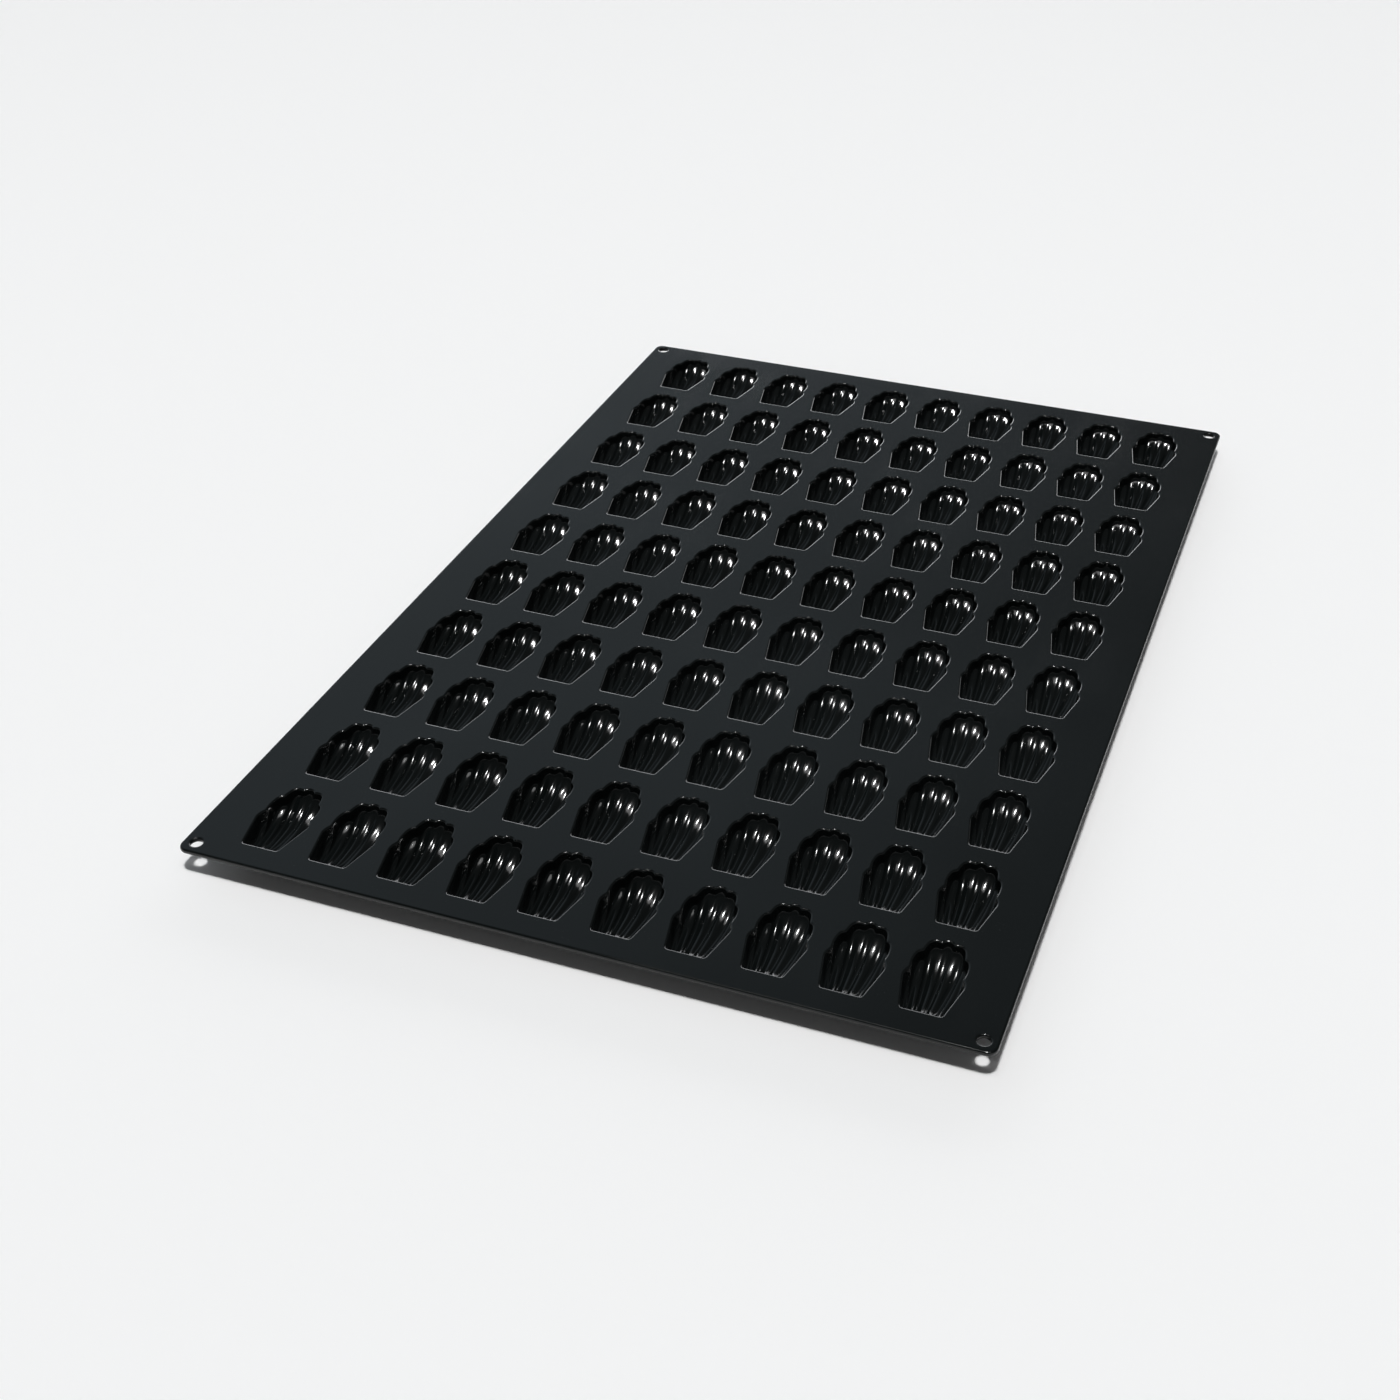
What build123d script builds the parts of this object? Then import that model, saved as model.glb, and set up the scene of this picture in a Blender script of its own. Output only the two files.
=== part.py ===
"""Flexible silicone baking mat for small madeleines: a thin black sheet with ten rows of ten shells.

The real mat is one moulding. Here it is held as its regions, face to face: the strips of sheet
across the mat, the lands of sheet inside each row, and the floor, sides and ends of each shell.

Millimetres. X runs along the short side and Y along the long side, with the narrow heel of every
shell towards -Y. Z is up. The origin is below the middle of the mat, on what the shells stand on.
"""

import os
from math import sqrt

from build123d import *

os.makedirs("parts", exist_ok=True)

# The array of shells
shell_columns = 10
shell_rows = 10
land_between_columns = 9.0
land_between_rows = 11.25

# One shell
shell_length = 47.0
shell_width = 27.25
shell_depth = 11.0
cup_wall = 1.5
foot_depth = 0.4

# The mouth of a shell: a straight heel, straight flanks to the widest place, and lobes round the
# far end. Widths are shares of the shell's width and places along it are shares of its length
heel_share = 0.69
widest_share = 0.42
lobe_cusp_shares = ((0.868, 0.542), (0.688, 0.798), (0.213, 0.942))
lobe_crest_shares = ((0.975, 0.483), (0.936, 0.681), (0.573, 0.917))

# The grooves spread from a point behind the heel, with the ridges between them running to the
# cusps. The depths are shares of the bowl's depth, from the middle groove outwards
fan_distance = 50.0
ridge_height = 1.3
groove_depth_shares = (1.0, 0.97, 0.84, 0.6)
flank_depth_share = 0.2
flank_reach_share = 1.12

# Where the bowl and the barrel round it are given a section, and how full the barrel's sides are
bowl_station_shares = (-1.06, -0.56, 0.0, 0.56, 1.06)
barrel_station_shares = (-0.985, -0.6, 0.0, 0.6, 0.985)
barrel_side_shares = (0.985, 0.45)
barrel_bilge_shares = (0.86, 0.8)

# The sheet around the shells
sheet_thickness = 2.5
side_margin = 23.25
end_margin = 14.375
sheet_corner_radius = 5.0
edge_round_share = 0.36

# The hole in each corner of the sheet
hole_radius = 3.0
hole_inset = 7.0
hole_lip_share = 0.4

# Where a shell is divided into floor, sides and ends, and the spare length of every cut
floor_width_share = 0.58
floor_length_share = 0.52
seam_share = 0.22
overrun = 3.0

column_pitch = shell_width + land_between_columns
row_pitch = shell_length + land_between_rows
column_places = [(column - (shell_columns - 1) / 2) * column_pitch for column in range(shell_columns)]
row_places = [(row - (shell_rows - 1) / 2) * row_pitch for row in range(shell_rows)]
sheet_width = column_places[-1] - column_places[0] + shell_width + 2 * side_margin
sheet_length = row_places[-1] - row_places[0] + shell_length + 2 * end_margin

top_z = shell_depth + cup_wall - foot_depth
underside_z = top_z - sheet_thickness
bowl_depth = shell_depth - sheet_thickness
half_width = shell_width / 2
heel_y = -shell_length / 2
tip_y = shell_length / 2
widest_y = heel_y + widest_share * shell_length


def mirrored(points: list[tuple[float, float]]) -> list[tuple[float, float]]:
    """The same points on the other side of the shell."""
    return [(-across, along) for across, along in points]


def dip(start: tuple[float, float], middle: tuple[float, float], end: tuple[float, float]) -> Bezier:
    """Curve from one point to another through a third one halfway between them."""
    control = tuple(2 * m - (s + e) / 2 for s, m, e in zip(start, middle, end))
    return Bezier(start, control, end)


def arc_drop(share: float, chord: float, depth: float) -> float:
    """Depth of an arc below its chord at a share of the way from the middle to the end."""
    radius = (chord**2 / 4 + depth**2) / (2 * depth)
    return sqrt(radius**2 - (share * chord / 2) ** 2) - (radius - depth)


def mouth_outline() -> Sketch:
    """The lobed outline of a shell's mouth."""
    heel_half = heel_share * half_width
    with BuildSketch() as outline:
        with BuildLine():
            Polyline(
                (-half_width, widest_y),
                (-heel_half, heel_y),
                (heel_half, heel_y),
                (half_width, widest_y),
            )
            last_cusps = []
            for side in (1, -1):
                start = (side * half_width, widest_y)
                for crest, cusp in zip(lobe_crest_shares, lobe_cusp_shares):
                    top = (side * crest[0] * half_width, heel_y + crest[1] * shell_length)
                    end = (side * cusp[0] * half_width, heel_y + cusp[1] * shell_length)
                    ThreePointArc(start, top, end)
                    start = end
                last_cusps.append(start)
            ThreePointArc(last_cusps[0], (0, tip_y), last_cusps[1])
        make_face()
    return outline.sketch


def cross_plane(along: float) -> Plane:
    """Plane across a shell, measured from the underside of the sheet."""
    return Plane(origin=(0, along, underside_z), x_dir=(1, 0, 0), z_dir=(0, -1, 0))


def bowl_section(share: float) -> Face:
    """Section of the bowl, with its seven grooves along the bottom."""
    along = share * shell_length / 2
    drop = arc_drop(share, shell_length, bowl_depth)
    slopes = [
        cusp[0] * half_width / (cusp[1] * shell_length + fan_distance)
        for cusp in reversed(lobe_cusp_shares)
    ]
    slopes.append(flank_reach_share * half_width / (widest_share * shell_length + fan_distance))
    reach = along - heel_y + fan_distance
    ridge_drop = ridge_height * drop / bowl_depth
    pairs = zip(groove_depth_shares, groove_depth_shares[1:])
    depths = [(inner + outer) / 2 * drop - ridge_drop for inner, outer in pairs]
    depths.append(flank_depth_share * drop)
    ridges = [(slope * reach, -depth) for slope, depth in zip(slopes, depths)]
    starts = mirrored(ridges[:1]) + ridges[:-1]
    with BuildSketch(cross_plane(along)) as section:
        with BuildLine():
            for start, end, depth_share in zip(starts, ridges, groove_depth_shares):
                middle = ((start[0] + end[0]) / 2, -depth_share * drop)
                dip(start, middle, end)
                if end != ridges[0]:
                    dip(*mirrored([start, middle, end]))
            flank = ridges[-1]
            Polyline(flank, (flank[0], top_z), (-flank[0], top_z), (-flank[0], flank[1]))
        make_face()
    return section.sketch.face()


def barrel_section(share: float) -> Face:
    """Section of the smooth outside of a shell."""
    along = share * (shell_length / 2 + cup_wall)
    drop = arc_drop(share, shell_length + 2 * cup_wall, bowl_depth + cup_wall)
    if along < widest_y:
        narrowing = (1 - heel_share) * half_width / (widest_y - heel_y)
        half = half_width - narrowing * (widest_y - along)
    else:
        half = half_width * sqrt(1 - ((along - widest_y) / (tip_y + 2 * cup_wall - widest_y)) ** 2)
    half += cup_wall
    side = (barrel_side_shares[0] * half, -barrel_side_shares[1] * drop)
    bilge = (barrel_bilge_shares[0] * half, -barrel_bilge_shares[1] * drop)
    with BuildSketch(cross_plane(along)) as section:
        with BuildLine():
            dip((half, 0), side, bilge)
            dip(bilge, (0, -drop), (-bilge[0], bilge[1]))
            dip(*mirrored([bilge, side, (half, 0)]))
            Polyline((half, 0), (half, top_z), (-half, top_z), (-half, 0))
        make_face()
    return section.sketch.face()


# The hollow of one shell below the sheet
with BuildPart() as bowl:
    loft([bowl_section(share) for share in bowl_station_shares])

with BuildPart() as hollow:
    add(mouth_outline())
    extrude(amount=underside_z)
    add(bowl.part, mode=Mode.INTERSECT)

# The wall of one shell below the sheet, cut flat where it stands
with BuildPart() as cup:
    loft([barrel_section(share) for share in barrel_station_shares])
    split(bisect_by=Plane.XY.offset(underside_z), keep=Keep.BOTTOM)
    split(bisect_by=Plane.XY, keep=Keep.TOP)
    add(hollow.part, mode=Mode.SUBTRACT)

floor_width = floor_width_share * shell_width
floor_length = floor_length_share * shell_length
cut_width = shell_width + 2 * cup_wall + 2 * overrun

with BuildPart() as cup_floor:
    add(cup.part)
    Box(floor_width, floor_length, 2 * top_z, mode=Mode.INTERSECT)

with BuildPart() as cup_sides:
    add(cup.part)
    Box(cut_width, floor_length, 2 * top_z, mode=Mode.INTERSECT)
    Box(floor_width, floor_length, 2 * top_z, mode=Mode.SUBTRACT)

with BuildPart() as cup_ends:
    add(cup.part)
    Box(cut_width, floor_length, 2 * top_z, mode=Mode.SUBTRACT)

# The whole sheet, before the mouths are cut from it
with BuildPart() as sheet:
    with BuildSketch(Plane.XY.offset(underside_z)):
        RectangleRounded(sheet_width, sheet_length, sheet_corner_radius)
    extrude(amount=sheet_thickness)
    rims = sheet.edges().group_by(Axis.Z)[0] + sheet.edges().group_by(Axis.Z)[-1]
    fillet(rims, edge_round_share * sheet_thickness)
    with Locations(Plane.XY.offset(top_z)):
        with GridLocations(sheet_width - 2 * hole_inset, sheet_length - 2 * hole_inset, 2, 2):
            Hole(hole_radius)
    lips = sheet.edges(Select.LAST).filter_by(GeomType.CIRCLE)
    fillet(lips, hole_lip_share * sheet_thickness)

# The band of each row stops a little short of both ends of its mouths, so that the lands of a row
# don't join round a shell
seam_inset = seam_share * sheet_thickness
row_front = heel_y + seam_inset
row_back = tip_y - seam_inset


def sheet_band(front: float, back: float, rows: list[float]) -> Part:
    """Band of sheet between two places along the mat, with the mouths of some rows cut from it."""
    with BuildPart() as band:
        add(sheet.part)
        with Locations((0, (front + back) / 2, top_z)):
            Box(sheet_width + overrun, back - front, 2 * top_z, mode=Mode.INTERSECT)
        with BuildSketch(Plane.XY.offset(top_z)):
            with Locations(*[(across, along) for across in column_places for along in rows]):
                add(mouth_outline())
        extrude(amount=-sheet_thickness, mode=Mode.SUBTRACT)
    return band.part


def write(node: str, piece: Part) -> None:
    """Write one node's solids to its own file."""
    piece.label = node
    export_step(piece, f"parts/{node}.step", write_pcurves=False)


# The strips between the rows, and one along each end of the mat
strip_fronts = [-sheet_length / 2 - overrun] + [along + row_back for along in row_places]
strip_backs = [along + row_front for along in row_places] + [sheet_length / 2 + overrun]
for number, (front, back) in enumerate(zip(strip_fronts, strip_backs), 1):
    near_rows = row_places[max(number - 2, 0) : number]
    write(f"sheet_strip_{number:02d}", sheet_band(front, back, near_rows))

# The lands and the shells of each row
for number, along in enumerate(row_places, 1):
    lands = sheet_band(along + row_front, along + row_back, [along])
    write(f"sheet_lands_row_{number:02d}", lands)
    for region, piece in (("floors", cup_floor), ("sides", cup_sides), ("ends", cup_ends)):
        with BuildPart() as cups:
            with Locations(*[(across, along, 0) for across in column_places]):
                add(piece.part)
        write(f"shell_{region}_row_{number:02d}", cups.part)
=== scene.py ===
"""Dress the flexible baking mat of small shell moulds: one glossy black silicone moulding.

Each row of shells is one piece of the mat, with its own stretch of sheet. Lengths in the classes
are millimetres in the frame of the solids: X across the mat, Y along it from the heels of the
shells towards their fans, Z up.
"""

import logging
import math
from dataclasses import dataclass, field
from enum import IntEnum

import bpy
import numpy as np
from mathutils import Matrix, Vector
from mathutils.geometry import tessellate_polygon

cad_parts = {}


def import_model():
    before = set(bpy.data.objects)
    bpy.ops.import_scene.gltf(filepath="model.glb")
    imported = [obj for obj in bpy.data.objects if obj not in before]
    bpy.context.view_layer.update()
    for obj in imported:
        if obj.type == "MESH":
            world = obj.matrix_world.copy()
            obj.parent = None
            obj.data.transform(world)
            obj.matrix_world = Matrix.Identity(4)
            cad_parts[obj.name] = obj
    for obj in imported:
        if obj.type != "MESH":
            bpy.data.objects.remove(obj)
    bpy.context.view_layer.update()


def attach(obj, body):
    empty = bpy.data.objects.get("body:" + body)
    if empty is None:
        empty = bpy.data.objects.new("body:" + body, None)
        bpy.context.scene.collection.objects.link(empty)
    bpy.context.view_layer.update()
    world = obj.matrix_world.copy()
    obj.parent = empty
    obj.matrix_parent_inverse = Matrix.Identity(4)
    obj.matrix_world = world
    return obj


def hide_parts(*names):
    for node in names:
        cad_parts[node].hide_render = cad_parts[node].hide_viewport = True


LOG = logging.getLogger("baking_mat")
MM = 0.001

# Scales of the noises in the rubber, in cycles per metre
FINE_SCALE = 2600.0
PEEL_SCALE = 420.0
WAVE_SCALE = 26.0
GLOSS_SCALE = 9.0
WIPE_SCALE = 60.0
SPECK_SCALE = 620.0
DUST_PATCH_SCALE = 130.0
CLOUD_SCALE = 5.0

# How finely the curves are sampled
RUN_SAMPLES = 120
OUTLINE_SAMPLES = 3000
CORNER_SAMPLES = 9
HOLE_SAMPLES = 40
ROUND_ANGLES = (0, 22.5, 45, 67.5, 90)
FILLET_ANGLES = (0, 30, 60, 90)
WALL_SHARES = (0.25, 0.5, 0.75)

# Faces that meet at a sharper angle than this, in degrees, keep a sharp edge
SHARP_ANGLE = 60.0

Point2 = tuple[float, float]
Loop = np.ndarray
Face = tuple[int, ...]


class Skin(IntEnum):
    """Which finish a face of the mat has."""

    GLOSS = 0
    SATIN = 1


# Shader node groups


def new_group(
    name: str, inputs: dict[str, float], outputs: dict[str, str]
) -> tuple[bpy.types.NodeTree, bpy.types.Node, bpy.types.Node]:
    """Start a shader node group with named sockets.

    Args:
        name: The group's name.
        inputs: Float inputs and their defaults.
        outputs: Outputs and their socket types.

    Returns:
        The group, its input node and its output node.
    """
    tree = bpy.data.node_groups.new(name, "ShaderNodeTree")
    for socket, value in inputs.items():
        item = tree.interface.new_socket(socket, in_out="INPUT", socket_type="NodeSocketFloat")
        item.default_value = value
    for socket, kind in outputs.items():
        tree.interface.new_socket(socket, in_out="OUTPUT", socket_type=kind)
    return tree, tree.nodes.new("NodeGroupInput"), tree.nodes.new("NodeGroupOutput")


def add_noise(
    tree: bpy.types.NodeTree, vector: bpy.types.NodeSocket, scale: float, detail: float
) -> bpy.types.Node:
    """Add a noise texture that reads a vector.

    Args:
        tree: The tree that the node goes in.
        vector: What the noise reads.
        scale: Its scale, in cycles per metre.
        detail: Its detail.

    Returns:
        The noise node.
    """
    noise = tree.nodes.new("ShaderNodeTexNoise")
    noise.inputs["Scale"].default_value = scale
    noise.inputs["Detail"].default_value = detail
    tree.links.new(vector, noise.inputs["Vector"])
    return noise


def add_math(
    tree: bpy.types.NodeTree,
    operation: str,
    first: bpy.types.NodeSocket,
    second: bpy.types.NodeSocket | float,
) -> bpy.types.NodeSocket:
    """Add a math node and give its result.

    Args:
        tree: The tree that the node goes in.
        operation: The node's operation.
        first: The first value.
        second: The second value, a socket or a number.

    Returns:
        The node's output socket.
    """
    node = tree.nodes.new("ShaderNodeMath")
    node.operation = operation
    tree.links.new(first, node.inputs[0])
    if isinstance(second, float):
        node.inputs[1].default_value = second
    else:
        tree.links.new(second, node.inputs[1])
    return node.outputs[0]


def add_vector(
    tree: bpy.types.NodeTree,
    operation: str,
    first: bpy.types.NodeSocket | tuple[float, float, float],
    second: bpy.types.NodeSocket | tuple[float, float, float] | None = None,
) -> bpy.types.Node:
    """Add a vector math node.

    Args:
        tree: The tree that the node goes in.
        operation: The node's operation.
        first: The first vector, a socket or three numbers.
        second: The second one, where the operation has it.

    Returns:
        The node.
    """
    node = tree.nodes.new("ShaderNodeVectorMath")
    node.operation = operation
    for socket, value in zip(node.inputs, (first, second)):
        if isinstance(value, tuple):
            socket.default_value = value
        elif value is not None:
            tree.links.new(value, socket)
    return node


def add_mix(
    tree: bpy.types.NodeTree,
    factor: bpy.types.NodeSocket,
    first: bpy.types.NodeSocket | tuple[float, float, float],
    second: tuple[float, float, float],
) -> bpy.types.NodeSocket:
    """Mix two colours.

    Args:
        tree: The tree that the node goes in.
        factor: How much of the second colour shows.
        first: The first colour, a socket or three numbers.
        second: The second colour.

    Returns:
        The mixed colour.
    """
    node = tree.nodes.new("ShaderNodeMix")
    node.data_type = "RGBA"
    tree.links.new(factor, node.inputs["Factor"])
    if isinstance(first, tuple):
        node.inputs["A"].default_value = (*first, 1.0)
    else:
        tree.links.new(first, node.inputs["A"])
    node.inputs["B"].default_value = (*second, 1.0)
    return node.outputs["Result"]


def add_ramp(
    tree: bpy.types.NodeTree,
    value: bpy.types.NodeSocket,
    low: float,
    high: float,
    bottom: float = 0.0,
    top: float = 1.0,
) -> bpy.types.NodeSocket:
    """Map a stretch of a value smoothly onto another one.

    Args:
        tree: The tree that the node goes in.
        value: The value that is read.
        low: Where the stretch starts.
        high: Where the stretch ends.
        bottom: The result up to the start.
        top: The result from the end on.

    Returns:
        The mapped value.
    """
    node = tree.nodes.new("ShaderNodeMapRange")
    node.interpolation_type = "SMOOTHSTEP"
    tree.links.new(value, node.inputs["Value"])
    node.inputs["From Min"].default_value = low
    node.inputs["From Max"].default_value = high
    node.inputs["To Min"].default_value = bottom
    node.inputs["To Max"].default_value = top
    return node.outputs["Result"]


def moulded_grain_group() -> bpy.types.NodeTree:
    """Fine height of a moulded rubber skin: tool marks, orange peel and slow waves.

    Returns:
        The node group, with the output Height.
    """
    tree, inlet, outlet = new_group(
        "moulded_grain",
        {"Fine": 0.3, "Peel": 0.5, "Wave": 0.4},
        {"Height": "NodeSocketFloat"},
    )
    place = tree.nodes.new("ShaderNodeTexCoord").outputs["Object"]
    fine = add_noise(tree, place, FINE_SCALE, 2.0).outputs["Fac"]
    peel = add_noise(tree, place, PEEL_SCALE, 2.0).outputs["Fac"]
    wave = add_noise(tree, place, WAVE_SCALE, 1.0).outputs["Fac"]
    fine = add_math(tree, "MULTIPLY", fine, inlet.outputs["Fine"])
    peel = add_math(tree, "MULTIPLY", peel, inlet.outputs["Peel"])
    wave = add_math(tree, "MULTIPLY", wave, inlet.outputs["Wave"])
    height = add_math(tree, "ADD", add_math(tree, "ADD", fine, peel), wave)
    tree.links.new(height, outlet.inputs["Height"])
    return tree


def handling_group() -> bpy.types.NodeTree:
    """Marks of handling: a slow change of gloss, smudges and sparse specks of dust.

    Returns:
        The node group, with the outputs Smudge and Dust, both from 0 to 1.
    """
    tree, inlet, outlet = new_group(
        "handling",
        {"Smudge Amount": 1.0, "Dust Amount": 1.0},
        {"Smudge": "NodeSocketFloat", "Dust": "NodeSocketFloat"},
    )
    place = tree.nodes.new("ShaderNodeTexCoord").outputs["Object"]
    broad = add_noise(tree, place, GLOSS_SCALE, 3.0).outputs["Fac"]
    streaky = tree.nodes.new("ShaderNodeMapping")
    streaky.inputs["Rotation"].default_value = (0.0, 0.0, 0.5)
    streaky.inputs["Scale"].default_value = (1.0, 0.25, 1.0)
    tree.links.new(place, streaky.inputs["Vector"])
    wiped = add_noise(tree, streaky.outputs["Vector"], WIPE_SCALE, 4.0).outputs["Fac"]
    smudge = add_math(
        tree,
        "MULTIPLY",
        add_ramp(tree, broad, 0.38, 0.66),
        add_ramp(tree, wiped, 0.3, 0.75),
    )
    smudge = add_math(tree, "MULTIPLY", smudge, inlet.outputs["Smudge Amount"])
    specks = tree.nodes.new("ShaderNodeTexVoronoi")
    specks.inputs["Scale"].default_value = SPECK_SCALE
    tree.links.new(place, specks.inputs["Vector"])
    dots = add_ramp(tree, specks.outputs["Distance"], 0.07, 0.14, 1.0, 0.0)
    patchy = add_noise(tree, place, DUST_PATCH_SCALE, 2.0).outputs["Fac"]
    patches = add_ramp(tree, patchy, 0.55, 0.7)
    dust = add_math(tree, "MULTIPLY", dots, patches)
    dust = add_math(tree, "MULTIPLY", dust, inlet.outputs["Dust Amount"])
    tree.links.new(smudge, outlet.inputs["Smudge"])
    tree.links.new(dust, outlet.inputs["Dust"])
    return tree


@dataclass(frozen=True)
class Silicone:
    """One finish of the black silicone."""

    name: str
    colour: tuple[float, float, float] = (0.0032, 0.0042, 0.0042)
    pale: tuple[float, float, float] = (0.0052, 0.0066, 0.0068)
    dust: tuple[float, float, float] = (0.06, 0.065, 0.067)
    smooth: float = 0.1
    smudged: float = 0.15
    ior: float = 1.43
    fine: float = 0.3
    peel: float = 0.5
    wave: float = 0.4
    bump: float = 0.05
    bump_height: float = 0.1
    dust_amount: float = 0.35

    def build(self, grain: bpy.types.NodeTree, handling: bpy.types.NodeTree) -> bpy.types.Material:
        """Make the material.

        Args:
            grain: The moulded grain group.
            handling: The handling group.

        Returns:
            The material.
        """
        material = bpy.data.materials.new(self.name)
        material.use_nodes = True
        tree = material.node_tree
        shader = tree.nodes["Principled BSDF"]
        shader.inputs["IOR"].default_value = self.ior
        marks = tree.nodes.new("ShaderNodeGroup")
        marks.node_tree = handling
        marks.inputs["Dust Amount"].default_value = self.dust_amount
        place = tree.nodes.new("ShaderNodeTexCoord").outputs["Object"]
        cloudy = add_noise(tree, place, CLOUD_SCALE, 3.0).outputs["Fac"]
        cloud = add_ramp(tree, cloudy, 0.35, 0.65)
        body = add_mix(tree, cloud, self.colour, self.pale)
        dusty = add_mix(tree, marks.outputs["Dust"], body, self.dust)
        tree.links.new(dusty, shader.inputs["Base Color"])
        rough = add_ramp(tree, marks.outputs["Smudge"], 0.0, 1.0, self.smooth, self.smudged)
        tree.links.new(rough, shader.inputs["Roughness"])
        skin = tree.nodes.new("ShaderNodeGroup")
        skin.node_tree = grain
        skin.inputs["Fine"].default_value = self.fine
        skin.inputs["Peel"].default_value = self.peel
        skin.inputs["Wave"].default_value = self.wave
        bump = tree.nodes.new("ShaderNodeBump")
        bump.inputs["Strength"].default_value = self.bump
        bump.inputs["Distance"].default_value = self.bump_height * MM
        tree.links.new(skin.outputs["Height"], bump.inputs["Height"])
        tree.links.new(bump.outputs["Normal"], shader.inputs["Normal"])
        return material


# The shape of one shell


@dataclass(frozen=True)
class ShellShape:
    """Outline, grooves and depth of one shell mould, measured from the middle of its mouth.

    Each lobe is given by the middle and the end of each of its arcs, as shares of half the width
    and of the length. The tuples for the ridges, the grooves and their runs start at the middle.
    """

    length: float = 47.0
    width: float = 27.25
    depth: float = 11.0
    heel_share: float = 0.69
    widest_share: float = 0.42
    flank_lobe_shares: tuple[Point2, ...] = ((0.975, 0.483), (0.868, 0.542))
    side_lobe_shares: tuple[Point2, ...] = (
        (0.91, 0.655),
        (0.851, 0.762),
        (0.785, 0.7925),
        (0.686, 0.8),
    )
    fan_lobe_shares: tuple[Point2, ...] = (
        (0.646, 0.866),
        (0.587, 0.932),
        (0.396, 0.97),
        (0.2055, 0.953),
    )
    fan_distance: float = 50.0
    upright: float = 2.5
    ridge_shares: tuple[float, ...] = (0.93, 0.86, 0.83, 0.8)
    hollows: tuple[float, ...] = (1.2, 1.9, 0.6, 0.45)
    crest_share: float = 0.5
    groove_spread: float = 0.8
    own_run_shares: tuple[float, ...] = (0.0, 0.1, 0.6, 0.9)
    heel_relief_share: float = 0.08
    draft: float = 0.5
    rounding: float = 0.6
    surround_rounding: float = 0.9
    lines: int = 10
    stations: int = 26

    @property
    def heel_y(self) -> float:
        """Place of the heel along the shell."""
        return -self.length / 2

    def lobes(self) -> list[list[Point2]]:
        """Give the lobes of the right half, from the widest place to the tip's lobe.

        Returns:
            For each lobe, the middle and the end of each of its arcs; the last point is its cusp.
        """
        half = self.width / 2
        shares = (self.flank_lobe_shares, self.side_lobe_shares, self.fan_lobe_shares)
        return [[(x * half, self.heel_y + y * self.length) for x, y in lobe] for lobe in shares]

    def raw_outline(self) -> tuple[Loop, list[float]]:
        """Sample the mouth's outline as it is before any rounding.

        Returns:
            Evenly spaced points, anticlockwise from the left end of the heel, and how far along
            the outline each corner lies, with the whole length last.
        """
        half = self.width / 2
        widest_y = self.heel_y + self.widest_share * self.length
        heel = self.heel_share * half
        runs = [
            straight((-heel, self.heel_y), (heel, self.heel_y)),
            straight((heel, self.heel_y), (half, widest_y)),
        ]
        start = (half, widest_y)
        lobes = []
        for lobe in self.lobes():
            corners = [start, *lobe]
            arcs = [arc(*corners[at : at + 3]) for at in range(0, len(lobe), 2)]
            lobes.append(np.concatenate(arcs))
            start = lobe[-1]
        runs += lobes
        runs.append(arc(start, (0.0, self.length / 2), (-start[0], start[1])))
        runs += [lobe[::-1] * np.array([-1.0, 1.0]) for lobe in reversed(lobes)]
        runs.append(straight((-half, widest_y), (-heel, self.heel_y)))
        marks = [0.0]
        for run in runs:
            marks.append(marks[-1] + float(np.hypot(*np.diff(run, axis=0).T).sum()))
        joined = np.concatenate([run[:-1] for run in runs] + [runs[0][:1]])
        steps = np.concatenate([[0.0], np.cumsum(np.hypot(*np.diff(joined, axis=0).T))])
        even = np.linspace(0.0, steps[-1], OUTLINE_SAMPLES, endpoint=False)
        points = np.column_stack([np.interp(even, steps, joined[:, axis]) for axis in (0, 1)])
        scale = steps[-1] / marks[-1]
        return points, [mark * scale for mark in marks]


def straight(start: Point2, end: Point2) -> Loop:
    """Sample a straight run.

    Args:
        start: Its first point.
        end: Its last point.

    Returns:
        Points from the first to the last.
    """
    steps = np.linspace(0.0, 1.0, RUN_SAMPLES)[:, None]
    return (1 - steps) * np.array(start) + steps * np.array(end)


def arc(start: Point2, middle: Point2, end: Point2) -> Loop:
    """Sample the arc through three points.

    Args:
        start: Its first point.
        middle: A point on it.
        end: Its last point.

    Returns:
        Points from the first to the last.
    """
    first, through, last = (complex(*point) for point in (start, middle, end))
    ratio = (last - first) / (through - first)
    centre = first + (through - first) * (ratio - abs(ratio) ** 2) / (2j * ratio.imag)
    begin = np.angle(first - centre)
    turn = np.angle((last - centre) / (first - centre))
    half_turn = np.angle((through - centre) / (first - centre))
    if turn * half_turn < 0:
        turn -= math.copysign(2 * math.pi, turn)
    angles = begin + turn * np.linspace(0.0, 1.0, RUN_SAMPLES)
    radius = abs(first - centre)
    return np.column_stack(
        [centre.real + radius * np.cos(angles), centre.imag + radius * np.sin(angles)]
    )


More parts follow.
